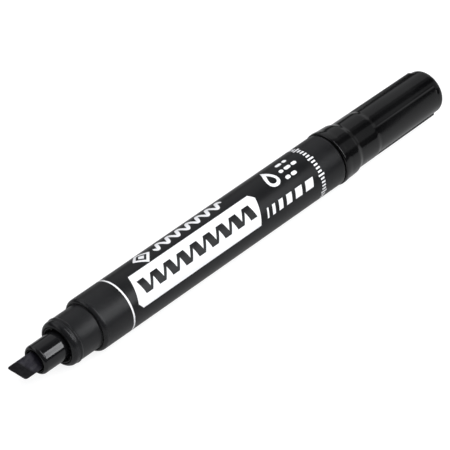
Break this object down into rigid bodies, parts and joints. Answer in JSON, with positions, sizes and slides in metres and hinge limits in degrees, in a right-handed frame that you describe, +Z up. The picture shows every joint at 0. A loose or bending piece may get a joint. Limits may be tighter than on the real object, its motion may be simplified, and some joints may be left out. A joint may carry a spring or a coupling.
{
  "type": "permanent marker",
  "caption": "Chisel-nib marker lying on its side: barrel with snap neck, nib holder, fibre nib, ink reservoir, rear post and a lined, ribbed cap pushed onto the post.",
  "frame": {"origin": "on the surface it lies on, below the middle of its length with the cap posted", "axes": "+X along the marker's axis from nib to cap, +Z up"},
  "size_m": [0.1414, 0.014, 0.014],
  "materials": {
    "barrel_plastic": "matte moulded polypropylene, fine texture",
    "holder_plastic": "smooth gloss moulding",
    "nib_fibre": "bonded polyester fibre soaked with black ink",
    "reservoir_fibre": "lengthwise fibre wadding soaked with ink",
    "film": "thin polyester film",
    "plug_plastic": "semi-gloss moulding",
    "cap_plastic": "semi-gloss moulding, lightly rubbed",
    "liner_plastic": "soft matte polyethylene"
  },
  "bodies": {
    "barrel": {"barrel": "barrel_plastic", "nib_holder": "holder_plastic", "nib": "nib_fibre", "ink_reservoir": "reservoir_fibre", "reservoir_film": "film", "rear_plug": "plug_plastic"},
    "cap": {"cap_shell": "cap_plastic", "cap_liner": "liner_plastic"}
  },
  "joints": [
    {"name": "cap_slide", "type": "slide", "parent": "barrel", "child": "cap", "axis": [1, 0, 0], "range_m": [0, 0.025]}
  ]
}
